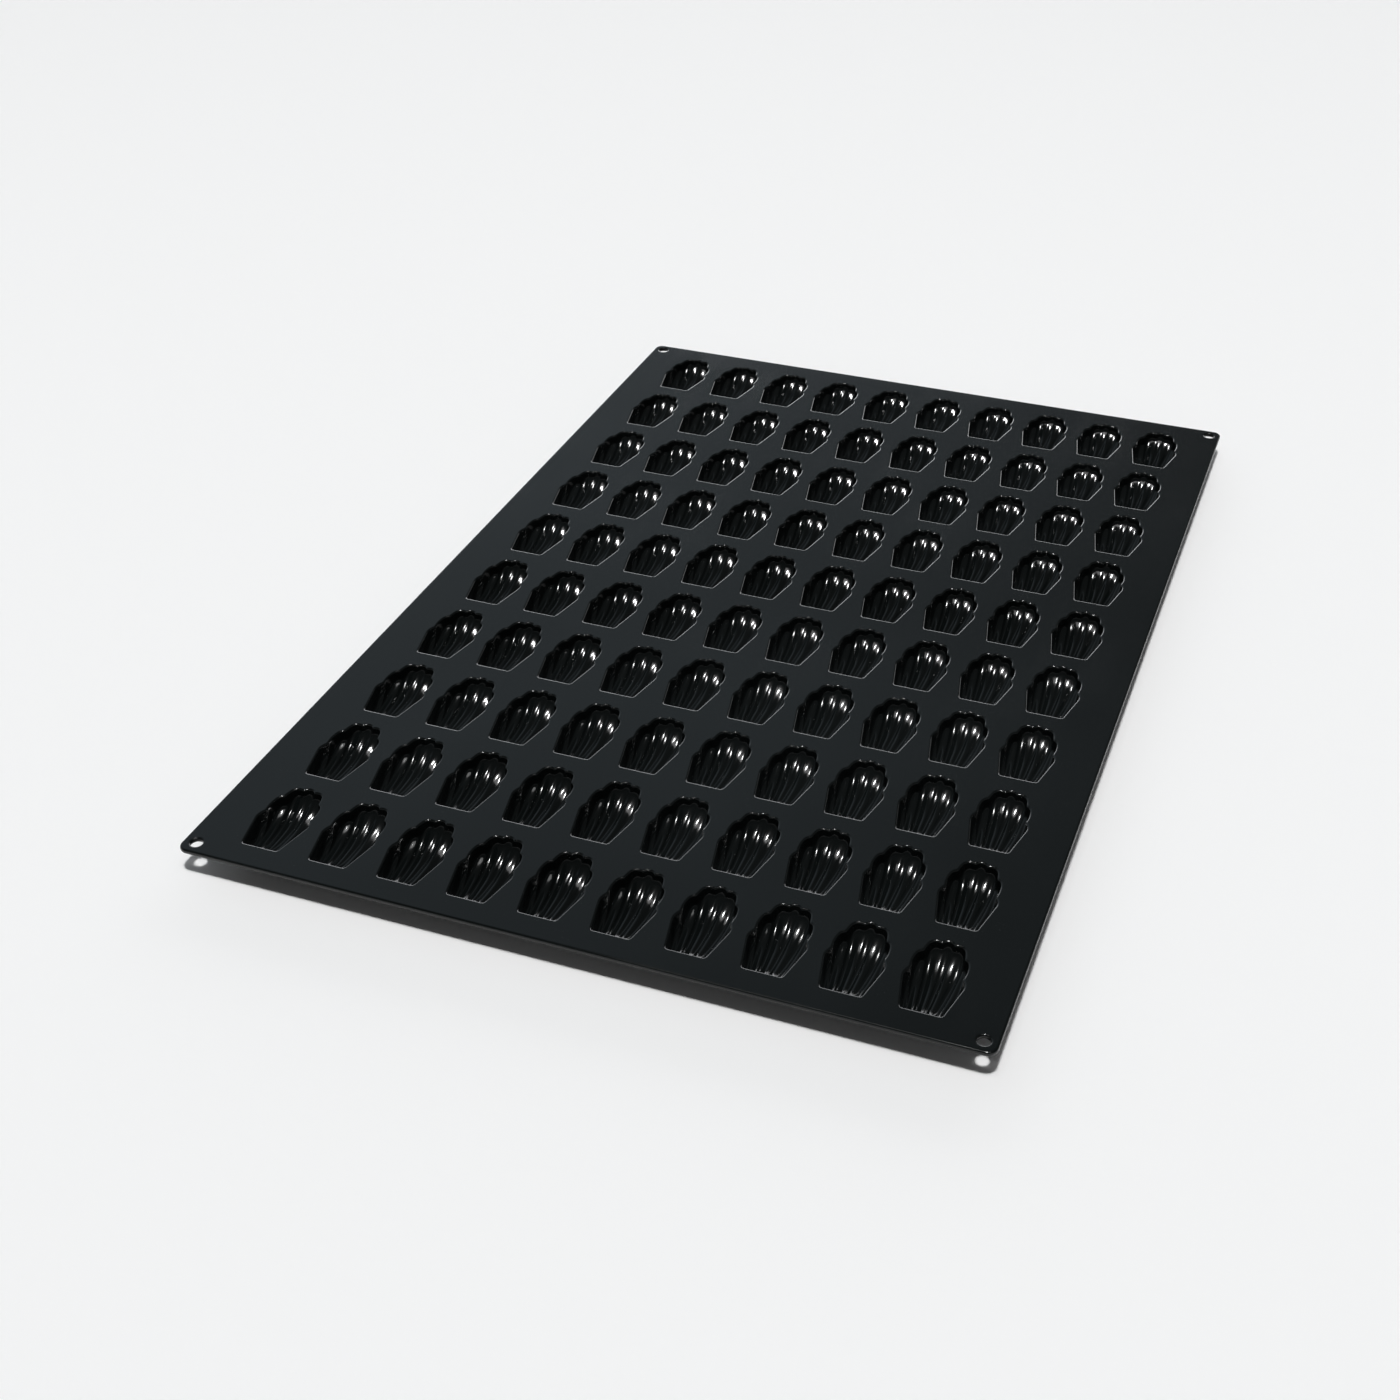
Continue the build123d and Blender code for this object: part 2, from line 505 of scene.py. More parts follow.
class RoundedOutline:
    """The mouth's outline with its corners rounded, which can be read anywhere and set off."""

    def __init__(self, shape: ShellShape, rounding: float) -> None:
        """Round the outline of a shell.

        Args:
            shape: The shell.
            rounding: Spread of the rounding along the outline.
        """
        raw, self.marks = shape.raw_outline()
        self.total = self.marks[-1]
        count = len(raw)
        step = self.total / count
        reach = int(4 * rounding / step) + 1
        offsets = np.arange(-reach, reach + 1)
        weights = np.exp(-((offsets * step / rounding) ** 2) / 2)
        weights /= weights.sum()
        smooth = sum(w * np.roll(raw, -o, axis=0) for w, o in zip(weights, offsets))
        tangent = np.roll(smooth, -1, axis=0) - np.roll(smooth, 1, axis=0)
        tangent /= np.hypot(*tangent.T)[:, None]
        self.along = np.linspace(0.0, self.total, count + 1)
        self.points = np.concatenate([smooth, smooth[:1]])
        self.normals = np.concatenate([tangent, tangent[:1]])[:, ::-1] * np.array([1.0, -1.0])

    def read(self, places: np.ndarray, offset: float) -> Loop:
        """Give points of the outline.

        Args:
            places: Distances along the outline.
            offset: How far outside the outline the points lie.

        Returns:
            One point for each place.
        """
        wrapped = np.mod(places, self.total)
        columns = []
        for axis in (0, 1):
            on_line = np.interp(wrapped, self.along, self.points[:, axis])
            aside = np.interp(wrapped, self.along, self.normals[:, axis])
            columns.append(on_line + offset * aside)
        return np.column_stack(columns)


class ShellGrid:
    """Net of lines over a shell: along its grooves, and across them from heel to fan."""

    def __init__(self, shape: ShellShape, rounding: float, lines: int, stations: int) -> None:
        """Lay the net out.

        Args:
            shape: The shell.
            rounding: Spread of the outline's rounding.
            lines: Number of strips across each groove.
            stations: Number of strips from heel to fan.
        """
        self.shape = shape
        self.lines = lines
        self.stations = stations
        self.outline = RoundedOutline(shape, rounding)
        self.surround = RoundedOutline(shape, shape.surround_rounding)
        self.columns = lines * (2 * len(shape.hollows) - 1)
        marks = self.outline.marks
        cusps = [lobe[-1] for lobe in shape.lobes()]
        ridges = [x / (y - shape.heel_y + shape.fan_distance) for x, y in reversed(cusps)]
        heel_half = shape.heel_share * shape.width / 2
        inner = [slope * shape.fan_distance for slope in ridges]
        heel_corners = [-heel_half, *[-x for x in reversed(inner)], *inner, heel_half]
        even = np.linspace(-1.0, 1.0, lines + 1)[:-1]
        self.within = np.sign(even) * np.abs(even) ** shape.groove_spread
        grooves = np.arange(len(heel_corners))
        spread = (grooves[:-1, None] + (1 + self.within) / 2).ravel()
        places = np.append(spread, grooves[-1])
        self.heel_places = np.interp(places, grooves, heel_corners) + heel_half
        self.fan_places = np.interp(places, grooves, marks[-2:1:-1])
        self.runs = np.linspace(0.0, 1.0, stations + 1)
        self.right_places = marks[1] + self.runs * (marks[2] - marks[1])
        self.left_places = marks[-1] - self.runs * (marks[-1] - marks[-2])

    def plan(self, offset: float) -> np.ndarray:
        """Place the net in plan.

        Args:
            offset: How far outside the outline the net's border lies.

        Returns:
            Points, by column and station.
        """
        heel = self.outline.read(self.heel_places, offset)[:, None]
        fan = self.outline.read(self.fan_places, offset)[:, None]
        left = self.outline.read(self.left_places, offset)[None]
        right = self.outline.read(self.right_places, offset)[None]
        across = (self.heel_places / self.heel_places[-1])[:, None, None]
        run = self.runs[None, :, None]
        ruled = (1 - run) * heel + run * fan + (1 - across) * left + across * right
        corners = (1 - run) * ((1 - across) * heel[:1] + across * heel[-1:])
        corners = corners + run * ((1 - across) * fan[:1] + across * fan[-1:])
        return ruled - corners

    def border(self) -> list[tuple[int, int]]:
        """List the net's border, anticlockwise from the left end of the heel.

        Returns:
            Column and station of each point.
        """
        last, top = self.columns, self.stations
        border = [(column, 0) for column in range(last)]
        border += [(last, station) for station in range(top)]
        border += [(column, top) for column in range(last, 0, -1)]
        border += [(0, station) for station in range(top, 0, -1)]
        return border

    def border_numbers(self, first: int) -> np.ndarray:
        """Number the border's points in a net whose first point has a number.

        Args:
            first: Number of the net's first point.

        Returns:
            Numbers in the border's order.
        """
        rise = self.stations + 1
        return np.array([first + column * rise + station for column, station in self.border()])

    def ring(self, offset: float, reach: float = 0.0, share: float = 0.0) -> Loop:
        """Give the border's points at a distance outside the outline.

        Args:
            offset: The distance.
            reach: Distance outside the softer outline that the ring leans towards.
            share: How far the ring leans towards it, from 0 to 1.

        Returns:
            Points in the border's order.
        """
        places = np.concatenate(
            [
                self.heel_places[:-1],
                self.right_places[:-1],
                self.fan_places[:0:-1],
                self.left_places[:0:-1],
            ]
        )
        inner = self.outline.read(places, offset)
        return (1 - share) * inner + share * self.surround.read(places, reach)

    def depths(self, plan: np.ndarray, relief: float, bowl: float) -> np.ndarray:
        """Give the depth of every point of the net below the upright part of the wall.

        Args:
            plan: The net's points in plan.
            relief: How much of the grooves and ribs shows, from 0 to 1.
            bowl: Depth of the middle groove.

        Returns:
            Depths, by column and station.
        """
        shape, lines = self.shape, self.lines
        hollows = np.array(mirrored(shape.hollows))
        grooves = len(hollows)
        column = np.arange(self.columns + 1)
        groove = np.minimum(column // lines, grooves - 1)
        within = np.append(np.tile(self.within, grooves), 1.0)[:, None]
        own_shares = mirrored(shape.own_run_shares)
        own = np.interp(column, lines * (np.arange(grooves) + 0.5), own_shares)[:, None]
        by_place = plan[:, :, 1] / (shape.length / 2)
        progress = (1 - own) * by_place + own * (2 * self.runs[None] - 1)
        drop = run_share(np.clip(progress, -1.0, 1.0), shape.length, bowl)
        ridges = np.array([*reversed(shape.ridge_shares), *shape.ridge_shares])
        low, high = ridges[groove][:, None], ridges[groove + 1][:, None]
        envelope = bowl * (low + (high - low) * (1 + within) / 2)
        away, crest = np.abs(within), shape.crest_share
        flute = np.where(away < 1 - crest, 1 - away**2 / (1 - crest), (1 - away) ** 2 / crest)
        fade = shape.heel_relief_share + (1 - shape.heel_relief_share) * np.sqrt(self.runs[None])
        detail = hollows[groove][:, None] * flute
        return drop * (envelope + relief * fade * detail)

    def faces(self, first: int) -> list[Face]:
        """List the net's quads, facing up.

        Args:
            first: Number of the net's first point.

        Returns:
            The quads.
        """
        rise = self.stations + 1
        quads = []
        for column in range(self.columns):
            for station in range(self.stations):
                at = first + column * rise + station
                quads.append((at, at + rise, at + rise + 1, at + 1))
        return quads


def mirrored(values: tuple[float, ...]) -> list[float]:
    """Give values from one side to the other, from the middle one outwards."""
    return [*reversed(values[1:]), *values]


def run_share(place: np.ndarray, chord: float, depth: float) -> np.ndarray:
    """Give the share of the bowl's depth at places from -1 at the heel to 1 at the fan.

    Args:
        place: Places along the bowl.
        chord: The bowl's length.
        depth: The bowl's depth.

    Returns:
        Shares from 0 to 1: an arc towards the fan and a fuller curve towards the heel.
    """
    radius = (chord**2 / 4 + depth**2) / (2 * depth)
    arc_run = (np.sqrt(radius**2 - (place * chord / 2) ** 2) - (radius - depth)) / depth
    flatness, steepness = 2.8, 0.62
    heel_run = (1 - np.abs(place) ** flatness) ** steepness
    return np.where(place < 0, heel_run, arc_run)


# Building meshes


@dataclass
class MeshParts:
    """Points and faces of a mesh in the making."""

    points: list[np.ndarray] = field(default_factory=list)
    faces: list[Face] = field(default_factory=list)
    skins: list[Skin] = field(default_factory=list)
    count: int = 0

    def add_points(self, points: np.ndarray) -> int:
        """Add points.

        Args:
            points: The points.

        Returns:
            The number of the first of them.
        """
        first = self.count
        self.points.append(points)
        self.count += len(points)
        return first

    def add_loop(self, loop: Loop, height: float | np.ndarray) -> np.ndarray:
        """Add a loop of points at a height.

        Args:
            loop: The points in plan.
            height: Their height, one for all or one each.

        Returns:
            The points' numbers.
        """
        heights = np.broadcast_to(height, (len(loop),))
        first = self.add_points(np.column_stack([loop, heights]))
        return np.arange(first, first + len(loop))

    def add_faces(self, faces: list[Face], skin: Skin) -> None:
        """Add faces of one finish."""
        self.faces += faces
        self.skins += [skin] * len(faces)

    def bridge(self, outer: np.ndarray, inner: np.ndarray, skin: Skin, closed: bool = True) -> None:
        """Join two lines of points with quads.

        Args:
            outer: Numbers of the first line's points.
            inner: Numbers of the second line's points.
            skin: The quads' finish.
            closed: Whether the lines are closed loops.
        """
        last = len(outer) if closed else len(outer) - 1
        following = [(at + 1) % len(outer) for at in range(last)]
        quads = [
            (int(outer[at]), int(outer[after]), int(inner[after]), int(inner[at]))
            for at, after in enumerate(following)
        ]
        self.add_faces(quads, skin)

    def fill(self, loops: list[np.ndarray], upwards: bool, skin: Skin) -> None:
        """Fill a flat region that has holes.

        Args:
            loops: Numbers of the points of the outer loop and of each hole.
            upwards: Whether the faces face up.
            skin: The faces' finish.
        """
        points = np.concatenate(self.points)
        numbers = np.concatenate(loops)
        outlines = [[Vector((*points[at][:2], 0.0)) for at in loop] for loop in loops]
        triangles = []
        for corners in tessellate_polygon(outlines):
            face = [int(numbers[corner]) for corner in corners]
            a, b, c = (points[at][:2] for at in face)
            area = (b[0] - a[0]) * (c[1] - a[1]) - (b[1] - a[1]) * (c[0] - a[0])
            if (area > 0) != upwards:
                face.reverse()
            triangles.append(tuple(face))
        self.add_faces(triangles, skin)

    def build(self, name: str, materials: list[bpy.types.Material]) -> bpy.types.Object:
        """Make the object.

        Args:
            name: The object's name.
            materials: Its materials, in the order of the finishes.

        Returns:
            The object, linked to the scene.
        """
        mesh = bpy.data.meshes.new(name)
        points = np.concatenate(self.points) * MM
        mesh.from_pydata(points.tolist(), [], self.faces)
        for material in materials:
            mesh.materials.append(material)
        mesh.polygons.foreach_set("material_index", [int(skin) for skin in self.skins])
        mesh.polygons.foreach_set("use_smooth", [True] * len(self.faces))
        mesh.validate()
        mesh.set_sharp_from_angle(angle=math.radians(SHARP_ANGLE))
        mesh.update()
        piece = bpy.data.objects.new(name, mesh)
        bpy.context.scene.collection.objects.link(piece)
        return piece


@dataclass(frozen=True)
class SheetSizes:
    """Sizes of the sheet around the shells."""

    width: float = 400.0
    length: float = 600.0
    top: float = 12.1
    thickness: float = 2.5
    corner_radius: float = 5.0
    edge_round: float = 0.9
    hold: float = 0.3
    hole_radius: float = 3.0
    hole_inset: float = 7.0
    hole_lip: float = 0.9
    columns: int = 10
    rows: int = 10
    column_pitch: float = 36.25
    row_pitch: float = 58.25

    @property
    def underside(self) -> float:
        """Height of the sheet's underside."""
        return self.top - self.thickness


def edge_profile(rounding: float, hold: float, top: float, bottom: float) -> list[Point2]:
    """Profile of a rounded edge, from the top face to the bottom face.

    Args:
        rounding: Radius of both corners.
        hold: Width of the flat that leads up to each corner.
        top: Height of the top face.
        bottom: Height of the bottom face.

    Returns:
        Distance inside the edge and height of each point.
    """
    steps = [math.radians(angle) for angle in ROUND_ANGLES]
    upper = [(rounding - rounding * math.sin(a), top - rounding * (1 - math.cos(a))) for a in steps]
    lower = [(inset, bottom + top - height) for inset, height in reversed(upper)]
    return [(rounding + hold, top), *upper, *lower, (rounding + hold, bottom)]


@dataclass(frozen=True)
class LipSizes:
    """Sizes of the rounded lip round a mouth: its height, and how far out it starts."""

    radius: float = 0.8
    reach: float = 1.15
    lean: float = 0.84


@dataclass(frozen=True)
class CupSizes:
    """Sizes of the outside of a shell, and how finely it is divided."""

    offset: float = 1.9
    fillet: float = 1.0
    hold: float = 0.25
    shoulder: float = 0.3
    fullness: float = 1.03
    relief: float = 0.5
    rounding: float = 2.0
    lines: int = 4
    stations: int = 18


class ShellMould:
    """The surfaces of one shell: lip, wall and fluted bowl, and the cup below the sheet."""

    def __init__(self, shape: ShellShape, sheet: SheetSizes, lip: LipSizes, cup: CupSizes) -> None:
        """Work the surfaces out once.

        Args:
            shape: The shell.
            sheet: The sheet that it lies in.
            lip: The lip of its mouth.
            cup: Its outside.
        """
        self.shape = shape
        self.sheet = sheet
        self.lip = lip
        self.cup = cup
        self.inside = ShellGrid(shape, shape.rounding, shape.lines, shape.stations)
        self.outside = ShellGrid(shape, cup.rounding, cup.lines, cup.stations)

    def add_inside(self, parts: MeshParts, place: Point2) -> np.ndarray:
        """Add the lip, the wall and the bowl.

        Args:
            parts: The mesh in the making.
            place: The middle of the shell.

        Returns:
            Numbers of the loop that the sheet's top face meets.
        """
        grid, shape, lip, top = self.inside, self.shape, self.lip, self.sheet.top
        move = np.array(place)
        border = parts.add_loop(grid.ring(0.0, lip.reach, 1.0) + move, top)
        before = border
        for angle in ROUND_ANGLES:
            turn = math.radians(angle)
            share = lip.lean * (1 - math.sin(turn))
            height = top - lip.radius * (1 - math.cos(turn))
            ring = parts.add_loop(grid.ring(0.0, lip.reach, share) + move, height)
            parts.bridge(before, ring, Skin.GLOSS)
            before = ring
        plan = grid.plan(-shape.draft)
        depths = grid.depths(plan, 1.0, shape.depth - shape.upright)
        heights = top - shape.upright - depths
        rim_heights = np.array([heights[at] for at in grid.border()])
        for share in WALL_SHARES:
            level = (1 - share) * (top - lip.radius) + share * rim_heights
            ring = parts.add_loop(grid.ring(-shape.draft * share) + move, level)
            parts.bridge(before, ring, Skin.GLOSS)
            before = ring
        net = np.dstack([plan + move, heights]).reshape(-1, 3)
        first = parts.add_points(net)
        parts.bridge(before, grid.border_numbers(first), Skin.GLOSS)
        parts.add_faces(grid.faces(first), Skin.GLOSS)
        return border

    def add_outside(self, parts: MeshParts, place: Point2) -> np.ndarray:
        """Add the cup below the sheet.

        Args:
            parts: The mesh in the making.
            place: The middle of the shell.

        Returns:
            Numbers of the loop that the sheet's underside meets.
        """
        grid, shape, cup, level = self.outside, self.shape, self.cup, self.sheet.underside
        move = np.array(place)
        border = parts.add_loop(grid.ring(cup.offset + cup.fillet + cup.hold) + move, level)
        before = border
        for angle in FILLET_ANGLES:
            turn = math.radians(angle)
            offset = cup.offset + cup.fillet * (1 - math.sin(turn))
            height = level - cup.fillet * (1 - math.cos(turn))
            ring = parts.add_loop(grid.ring(offset) + move, height)
            parts.bridge(ring, before, Skin.SATIN)
            before = ring
        plan = grid.plan(cup.offset - shape.draft)
        depths = grid.depths(plan, cup.relief, shape.depth - shape.upright)
        heights = np.maximum(level - cup.fillet - cup.shoulder - depths * cup.fullness, 0.0)
        net = np.dstack([plan + move, heights]).reshape(-1, 3)
        first = parts.add_points(net)
        parts.bridge(grid.border_numbers(first), before, Skin.SATIN)
        parts.add_faces([face[::-1] for face in grid.faces(first)], Skin.SATIN)
        return border


@dataclass(frozen=True)
class EdgeChain:
    """A stretch of the sheet's outer edge, anticlockwise, with its outward normals."""

    points: Loop
    normals: Loop

    def inset(self, distance: float) -> Loop:
        """Give the chain's points at a distance inside the edge."""
        return self.points - distance * self.normals


class MatRow:
    """One row of shells with its stretch of the sheet."""

    def __init__(self, number: int, sheet: SheetSizes, mould: ShellMould) -> None:
        """Place the row.

        Args:
            number: The row's number, from 1 at the heel end of the mat.
            sheet: The sheet.
            mould: The shell that repeats in it.
        """
        self.number = number
        self.sheet = sheet
        self.mould = mould
        self.middle = (number - (sheet.rows + 1) / 2) * sheet.row_pitch
        self.is_first = number == 1
        self.is_last = number == sheet.rows
        self.front = -sheet.length / 2 if self.is_first else self.middle - sheet.row_pitch / 2
        self.back = sheet.length / 2 if self.is_last else self.middle + sheet.row_pitch / 2

    def edge_chains(self) -> list[EdgeChain]:
        """Give the stretches of the outer edge in this row.

        Returns:
            One chain for a row at an end of the mat, and otherwise two.
        """
        if self.is_first:
            return [self.end_chain(-1, self.back)]
        if self.is_last:
            return [self.end_chain(1, self.front)]
        half = self.sheet.width / 2
        right_up = np.array([(half, self.front), (half, self.back)])
        left_down = np.array([(-half, self.back), (-half, self.front)])
        return [
            EdgeChain(right_up, np.array([(1.0, 0.0)] * 2)),
            EdgeChain(left_down, np.array([(-1.0, 0.0)] * 2)),
        ]

    def end_chain(self, end: int, seam: float) -> EdgeChain:
        """Give the outer edge of a row at an end of the mat.

        Args:
            end: -1 for the heel end of the mat and 1 for the fan end.
            seam: Where the row meets its neighbour.

        Returns:
            The chain round both corners.
        """
        sheet = self.sheet
        radius = sheet.corner_radius
        first_side = -1 if end < 0 else 1
        points = [(first_side * sheet.width / 2, seam)]
        normals = [(float(first_side), 0.0)]
        for corner_side in (first_side, -first_side):
            centre = (
                corner_side * (sheet.width / 2 - radius),
                end * (sheet.length / 2 - radius),
            )
            angles = np.linspace(0.0, math.pi / 2, CORNER_SAMPLES)
            if corner_side != first_side:
                angles = angles[::-1]
            for angle in angles:
                normal = (corner_side * math.cos(angle), end * math.sin(angle))
                points.append((centre[0] + radius * normal[0], centre[1] + radius * normal[1]))
                normals.append(normal)
        points.append((-first_side * sheet.width / 2, seam))
        normals.append((float(-first_side), 0.0))
        return EdgeChain(np.array(points), np.array(normals))

    def add_edges(self, parts: MeshParts) -> tuple[np.ndarray, np.ndarray]:
        """Add the rounded outer edge and the faces at the seams to the neighbouring rows.

        Args:
            parts: The mesh in the making.

        Returns:
            Numbers of the outer loops of the top face and of the underside.
        """
        sheet = self.sheet
        profile = edge_profile(sheet.edge_round, sheet.hold, sheet.top, sheet.underside)
        tops, bottoms, ends = [], [], []
        for chain in self.edge_chains():
            rings = [parts.add_loop(chain.inset(inset), height) for inset, height in profile]
            for upper, lower in zip(rings, rings[1:]):
                parts.bridge(lower, upper, Skin.GLOSS, closed=False)
            tops.append(rings[0])
            bottoms.append(rings[-1])
            ends.append(([ring[0] for ring in rings], [ring[-1] for ring in rings]))
        for at, (_, finish) in enumerate(ends):
            start = ends[(at + 1) % len(ends)][0]
            seam = [int(number) for number in [*reversed(finish), *start]]
            parts.add_faces([tuple(seam)], Skin.SATIN)
        return np.concatenate(tops), np.concatenate(bottoms)

    def add_holes(self, parts: MeshParts) -> tuple[list[np.ndarray], list[np.ndarray]]:
        """Add the corner holes of a row at an end of the mat.

        Args:
            parts: The mesh in the making.

        Returns:
            The holes' loops in the top face and in the underside.
        """
        sheet = self.sheet
        uppers, lowers = [], []
        if not (self.is_first or self.is_last):
            return uppers, lowers
        profile = edge_profile(sheet.hole_lip, sheet.hold, sheet.top, sheet.underside)
        turns = np.linspace(0.0, 2 * math.pi, HOLE_SAMPLES, endpoint=False)
        circle = np.column_stack([np.cos(turns), np.sin(turns)])
        end = -1 if self.is_first else 1
        for side in (-1, 1):
            centre = np.array(
                [
                    side * (sheet.width / 2 - sheet.hole_inset),
                    end * (sheet.length / 2 - sheet.hole_inset),
                ]
            )
            rings = [
                parts.add_loop(centre + (sheet.hole_radius + inset) * circle, height)
                for inset, height in profile
            ]
            for upper, lower in zip(rings, rings[1:]):
                parts.bridge(upper, lower, Skin.GLOSS)
            uppers.append(rings[0])
            lowers.append(rings[-1])
        return uppers, lowers

    def build(self, materials: list[bpy.types.Material]) -> bpy.types.Object:
        """Make the row's piece.

        Args:
            materials: The finishes.

        Returns:
            The piece.
        """
        sheet = self.sheet
        parts = MeshParts()
        top_loop, bottom_loop = self.add_edges(parts)
        uppers, lowers = self.add_holes(parts)
        for column in range(sheet.columns):
            place = ((column - (sheet.columns - 1) / 2) * sheet.column_pitch, self.middle)
            uppers.append(self.mould.add_inside(parts, place))
            lowers.append(self.mould.add_outside(parts, place))
        parts.fill([top_loop, *uppers], True, Skin.GLOSS)
        parts.fill([bottom_loop, *lowers], False, Skin.SATIN)
        piece = parts.build(f"mat_row_{self.number:02d}", materials)
        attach(piece, "root")
        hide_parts(*self.nodes())
        LOG.info("%s: %d faces", piece.name, len(parts.faces))
        return piece

    def nodes(self) -> list[str]:
        """List the solids that the row stands for.

        Returns:
            The nodes' names.
        """
        names = [f"sheet_strip_{self.number:02d}", f"sheet_lands_row_{self.number:02d}"]
        names += [f"shell_{region}_row_{self.number:02d}" for region in ("floors", "sides", "ends")]
        if self.is_last:
            names.append(f"sheet_strip_{self.number + 1:02d}")
        return names


# The studio


@dataclass(frozen=True)
class DistantLamp:
    """A small round light far away, straight from one direction."""

    name: str
    direction: tuple[float, float, float]
    spread: float
    strength: float
    distance: float = 2.0

    def build(self) -> bpy.types.Object:
        """Hang the light.

        Returns:
            The light.
        """
        data = bpy.data.lights.new(self.name, "SUN")
        data.energy = self.strength
        data.angle = math.radians(self.spread)
        lamp = bpy.data.objects.new(self.name, data)
        lamp.rotation_euler = Vector(self.direction).to_track_quat("Z", "Y").to_euler()
        lamp.location = Vector(self.direction) * self.distance
        bpy.context.scene.collection.objects.link(lamp)
        return lamp


@dataclass(frozen=True)
class StripLamp:
    """A long soft light above the part, across the mat."""

    name: str
    height: float
    half_angles: tuple[float, float]
    radiance: float

    def build(self) -> bpy.types.Object:
        """Hang the light.

        Returns:
            The light.
        """
        data = bpy.data.lights.new(self.name, "AREA")
        data.shape = "RECTANGLE"
        across, along = (2 * self.height * math.tan(math.radians(a)) for a in self.half_angles)
        data.size = across
        data.size_y = along
        data.energy = self.radiance * math.pi * across * along
        lamp = bpy.data.objects.new(self.name, data)
        lamp.location = (0.0, 0.0, self.height)
        bpy.context.scene.collection.objects.link(lamp)
        return lamp


@dataclass(frozen=True)
class Glow:
    """A soft patch of brightness in the surroundings, towards one side and up to a height.

    It ends at the first angle of its reach and of its height, and is full from the second.
    """

    name: str
    azimuth: float
    reach: tuple[float, float]
    height: tuple[float, float]
    strength: float
    colour: tuple[float, float, float]


@dataclass(frozen=True)
class Surroundings:
    """What the part sees around it: a dim room, a low window behind and a pale wall beside it."""

    dim: float = 0.045
    glows: tuple[Glow, ...] = (
        Glow("window", 12.0, (40.0, 12.0), (19.0, 16.0), 4.6, (0.97, 0.985, 1.0)),
        Glow("wall", 50.0, (54.0, 10.0), (62.0, 36.0), 0.35, (0.76, 0.9, 1.0)),
        Glow("room", 180.0, (170.0, 60.0), (30.0, 8.0), 0.35, (1.0, 1.0, 1.0)),
    )

    def add_glow(self, tree: bpy.types.NodeTree, glow: Glow) -> bpy.types.NodeSocket:
        """Add one glow to the world's tree.

        Args:
            tree: The world's tree.
            glow: The glow.

        Returns:
            Its colour in every direction.
        """
        direction = tree.nodes.new("ShaderNodeTexCoord").outputs["Generated"]
        flat = add_vector(tree, "MULTIPLY", direction, (1.0, 1.0, 0.0))
        level = add_vector(tree, "NORMALIZE", flat.outputs["Vector"])
        turn = math.radians(glow.azimuth)
        middle = (-math.sin(turn), math.cos(turn), 0.0)
        towards = add_vector(tree, "DOT_PRODUCT", level.outputs["Vector"], middle)
        outer, inner = (math.cos(math.radians(angle)) for angle in glow.reach)
        side = add_ramp(tree, towards.outputs["Value"], outer, inner)
        height = tree.nodes.new("ShaderNodeSeparateXYZ")
        tree.links.new(direction, height.inputs[0])
        top, full = (math.sin(math.radians(angle)) for angle in glow.height)
        below = add_ramp(tree, height.outputs["Z"], full, top, glow.strength, 0.0)
        amount = add_math(tree, "MULTIPLY", side, below)
        colour = add_vector(tree, "SCALE", glow.colour)
        tree.links.new(amount, colour.inputs["Scale"])
        return colour.outputs["Vector"]

    def build(self) -> None:
        """Set the world: white to the camera, and the room to everything else."""
        world = bpy.data.worlds.new("surroundings")
        bpy.context.scene.world = world
        world.use_nodes = True
        tree = world.node_tree
        total = (self.dim, self.dim, self.dim)
        for glow in self.glows:
            total = add_vector(tree, "ADD", self.add_glow(tree, glow), total).outputs["Vector"]
        path = tree.nodes.new("ShaderNodeLightPath")
        seen = add_mix(tree, path.outputs["Is Camera Ray"], total, (1.0, 1.0, 1.0))
        tree.links.new(seen, tree.nodes["Background"].inputs["Color"])


@dataclass(frozen=True)
class PhotoCamera:
    """The photograph's camera."""

    image_width: int = 1400
    focal_pixels: float = 1927.77
    principal: Point2 = (768.55, 700.17)
    azimuth: float = 19.649
    elevation: float = 35.068
    roll: float = 0.147
    distance: float = 1036.69
    target: Point2 = (17.63, -73.12)
    sensor_width: float = 36.0
    clip: Point2 = (0.01, 60.0)

    def build(self) -> bpy.types.Object:
        """Set the camera where the photograph was taken from.

        Returns:
            The camera.
        """
        across, up = math.radians(self.azimuth), math.radians(self.elevation)
        back = Vector(
            (math.sin(across) * math.cos(up), -math.cos(across) * math.cos(up), math.sin(up))
        )
        aim = Vector((*self.target, 0.0))
        data = bpy.data.cameras.new("camera")
        data.sensor_width = self.sensor_width
        data.sensor_fit = "HORIZONTAL"
        data.lens = data.sensor_width * self.focal_pixels / self.image_width
        data.shift_x = (self.image_width / 2 - self.principal[0]) / self.image_width
        data.shift_y = (self.principal[1] - self.image_width / 2) / self.image_width
        data.clip_start, data.clip_end = self.clip
        camera = bpy.data.objects.new("camera", data)
        facing = (-back).to_track_quat("-Z", "Y").to_matrix().to_4x4()
        place = Matrix.Translation((aim + back * self.distance) * MM)
        roll = Matrix.Rotation(math.radians(self.roll), 4, "Z")
        camera.matrix_world = place @ facing @ roll
        bpy.context.scene.collection.objects.link(camera)
        bpy.context.scene.camera = camera
        return camera


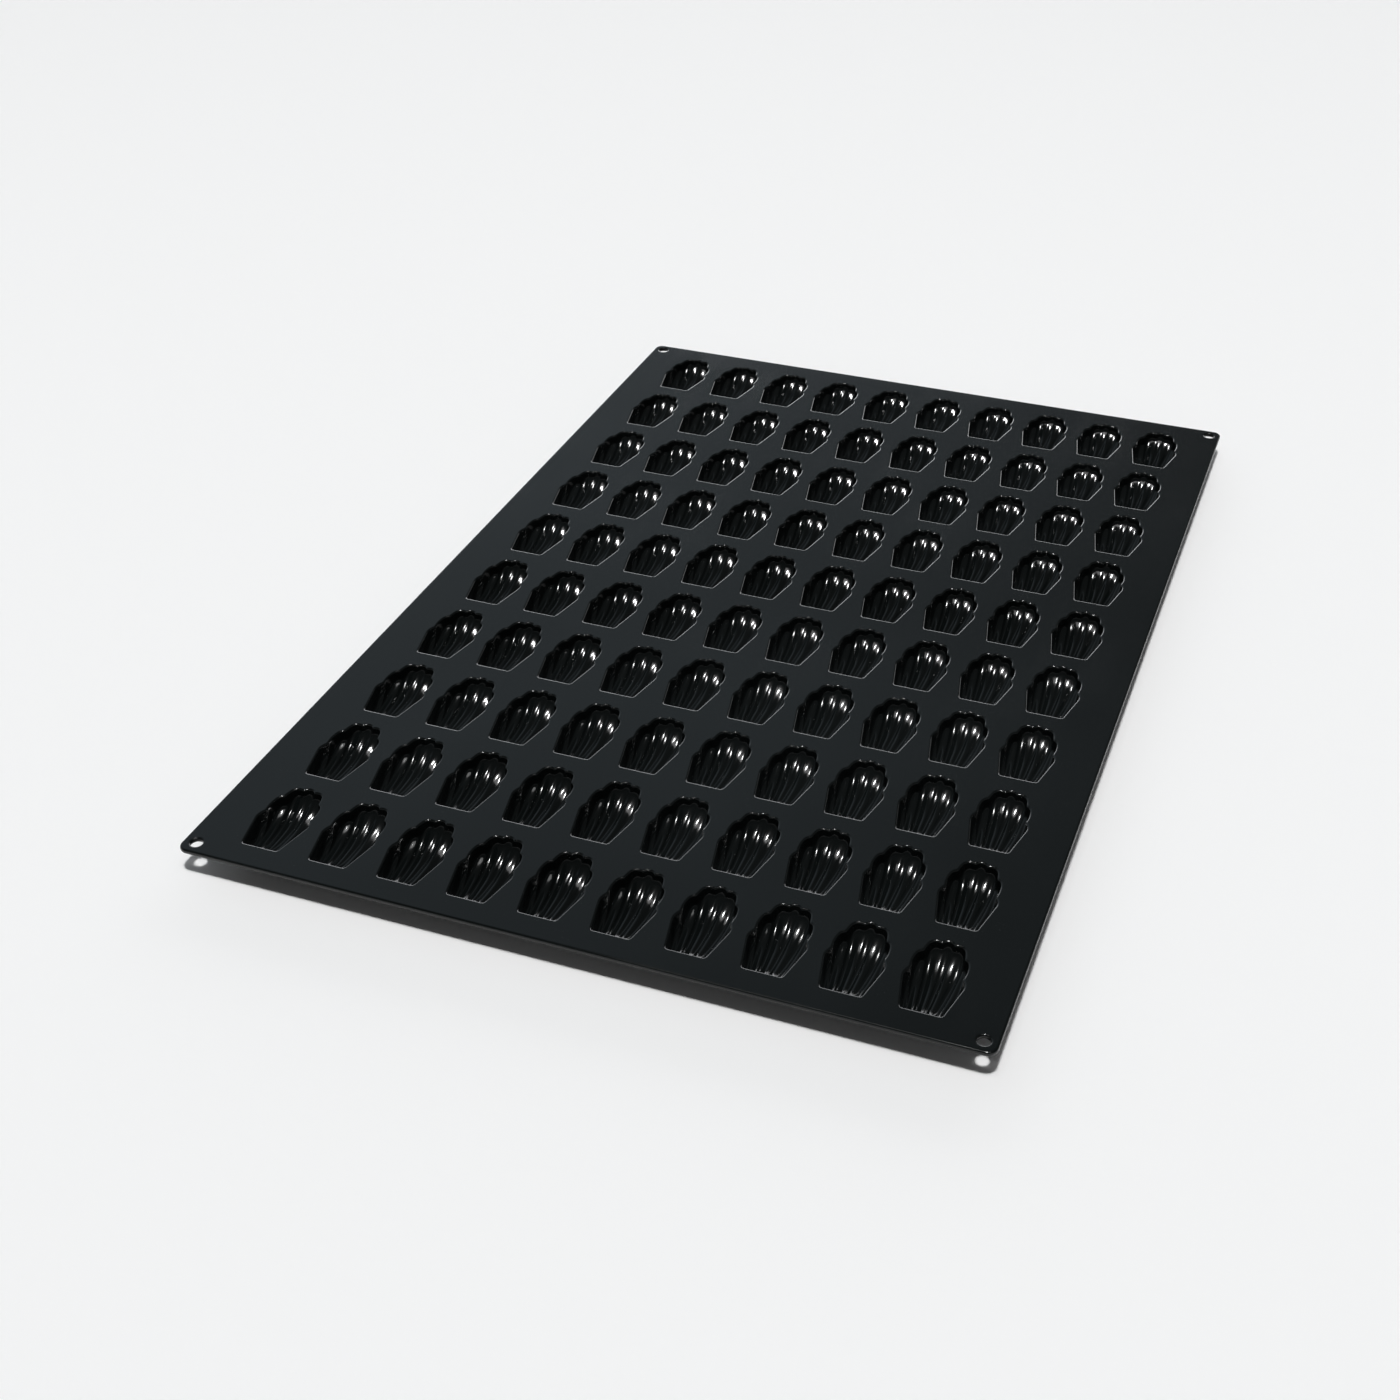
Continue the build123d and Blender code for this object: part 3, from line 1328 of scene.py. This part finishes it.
@dataclass(frozen=True)
class Studio:
    """Pale floor, a small lamp and a strip lamp overhead, and the room around."""

    floor_size: float = 24.0
    floor_gap: float = 0.2
    floor_roughness: float = 0.9
    floor_colour: tuple[float, float, float] = (0.98, 0.98, 0.98)
    lamp: DistantLamp = DistantLamp("overhead", (0.0, 0.0, 1.0), 7.0, 2.0)
    strip: StripLamp = StripLamp("strip", 3.0, (18.0, 5.0), 3.5)

    def build_floor(self) -> bpy.types.Object:
        """Lay the floor.

        Returns:
            The floor.
        """
        half = self.floor_size / 2
        mesh = bpy.data.meshes.new("floor")
        corners = [(-half, -half, 0.0), (half, -half, 0.0), (half, half, 0.0), (-half, half, 0.0)]
        mesh.from_pydata(corners, [], [(0, 1, 2, 3)])
        floor = bpy.data.objects.new("floor", mesh)
        floor.location.z = -self.floor_gap * MM
        bpy.context.scene.collection.objects.link(floor)
        material = bpy.data.materials.new("pale_floor")
        material.use_nodes = True
        shader = material.node_tree.nodes["Principled BSDF"]
        shader.inputs["Base Color"].default_value = (*self.floor_colour, 1.0)
        shader.inputs["Roughness"].default_value = self.floor_roughness
        shader.inputs["Specular IOR Level"].default_value = 0.0
        mesh.materials.append(material)
        return floor

    def build(self) -> None:
        """Set everything up."""
        self.build_floor()
        Surroundings().build()
        self.lamp.build()
        self.strip.build()
        PhotoCamera().build()


def main() -> None:
    """Load the solids, dress them and set the studio."""
    logging.basicConfig(level=logging.INFO, format="%(name)s %(message)s")
    bpy.context.scene.view_settings.view_transform = "Standard"
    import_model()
    grain = moulded_grain_group()
    handling = handling_group()
    gloss = Silicone("black_silicone_gloss").build(grain, handling)
    satin = Silicone(
        "black_silicone_satin", smooth=0.42, smudged=0.5, fine=0.8, bump=0.2, dust_amount=0.6
    ).build(grain, handling)
    sheet = SheetSizes()
    mould = ShellMould(ShellShape(), sheet, LipSizes(), CupSizes())
    for number in range(1, sheet.rows + 1):
        MatRow(number, sheet, mould).build([gloss, satin])
    Studio().build()
    LOG.info("scene ready")


if __name__ == "__main__":
    main()
